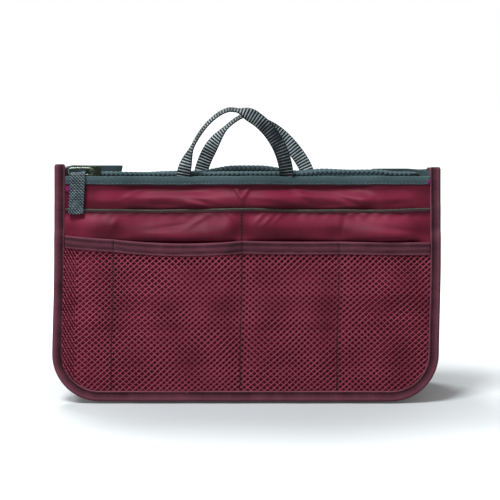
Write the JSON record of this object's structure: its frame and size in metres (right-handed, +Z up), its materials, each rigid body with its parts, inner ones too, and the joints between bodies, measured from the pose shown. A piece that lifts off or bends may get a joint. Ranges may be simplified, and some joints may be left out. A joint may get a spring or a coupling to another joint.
{
  "type": "purse organizer insert",
  "caption": "Soft-sided handbag insert with padded leaning walls, net and slip pockets, folded side gussets, an open zip with a woven pull and webbing carry handles.",
  "frame": {"origin": "on the floor, under the middle of the flat base", "axes": "+X along the width, to the right seen from the front; the front wall is towards -Y; +Z up"},
  "size_m": [0.29, 0.0858, 0.2183],
  "materials": {
    "satin": "satin weave, semi-gloss",
    "net": "diamond net",
    "binding": "folded bias tape",
    "grey_tape": "woven tape",
    "grey_lining": "plain weave",
    "webbing": "ribbed webbing",
    "foam": "soft foam",
    "base_board": "stiffening board",
    "zip_teeth": "moulded",
    "zip_metal": "dark plated"
  },
  "bodies": {
    "base": {"base_panel": "satin", "base_board": "base_board", "base_lining": "grey_lining", "left_gusset": "satin", "right_gusset": "satin", "left_gusset_hem": "grey_tape", "right_gusset_hem": "grey_tape"},
    "front_wall": {"front_lining": "grey_lining", "front_foam": "foam", "front_shell": "satin", "front_slip_pocket": "satin", "front_slip_pocket_hem": "binding", "front_binding": "binding", "front_top_band": "grey_tape", "front_zip_tape": "grey_tape", "front_zip_teeth": "zip_teeth", "front_zip_stop_left": "zip_metal", "front_zip_stop_right": "zip_metal", "front_mesh_pocket": "net", "front_mesh_pocket_band": "binding"},
    "back_wall": {"back_lining": "grey_lining", "back_foam": "foam", "back_shell": "satin", "back_slip_pocket": "satin", "back_slip_pocket_hem": "binding", "back_binding": "binding", "back_top_band": "grey_tape", "back_zip_tape": "grey_tape", "back_zip_teeth": "zip_teeth", "back_zip_stop_left": "zip_metal", "back_zip_stop_right": "zip_metal", "back_lower_pocket": "satin", "back_lower_pocket_band": "binding"},
    "slider": {"zip_slider": "zip_metal"},
    "pull_link": {"pull_link": "zip_metal"},
    "pull_tab": {"pull_tab": "webbing"},
    "front_handle": {"front_handle": "webbing"},
    "back_handle": {"back_handle": "webbing"}
  },
  "joints": [
    {"name": "front_wall_open", "type": "hinge", "parent": "base", "child": "front_wall", "pos_m": [0, -0.035, 0.0005], "axis": [1, 0, 0], "range_deg": [0, 9.5]},
    {"name": "back_wall_open", "type": "hinge", "parent": "base", "child": "back_wall", "pos_m": [0, 0.035, 0.0005], "axis": [-1, 0, 0], "range_deg": [0, 9.5]},
    {"name": "zip_slide", "type": "slide", "parent": "front_wall", "child": "slider", "axis": [1, 0, 0], "range_m": [0, 0.232], "deforming": ["pull_tab"]},
    {"name": "pull_swing", "type": "hinge", "parent": "slider", "child": "pull_link", "pos_m": [-0.116, -0.01456, 0.17185], "axis": [0, 0.1311, 0.9914], "range_deg": [0, 120]},
    {"name": "tab_swing", "type": "hinge", "parent": "pull_link", "child": "pull_tab", "pos_m": [-0.12755, -0.01489, 0.16937], "axis": [-1, 0, 0], "range_deg": [0, 100]},
    {"name": "front_handle_fold", "type": "hinge", "parent": "front_wall", "child": "front_handle", "pos_m": [-0.0095, -0.01855, 0.16607], "axis": [1, 0, 0], "range_deg": [0, 160]},
    {"name": "back_handle_fold", "type": "hinge", "parent": "back_wall", "child": "back_handle", "pos_m": [0.0045, 0.01855, 0.16607], "axis": [-1, 0, 0], "range_deg": [0, 160]}
  ]
}
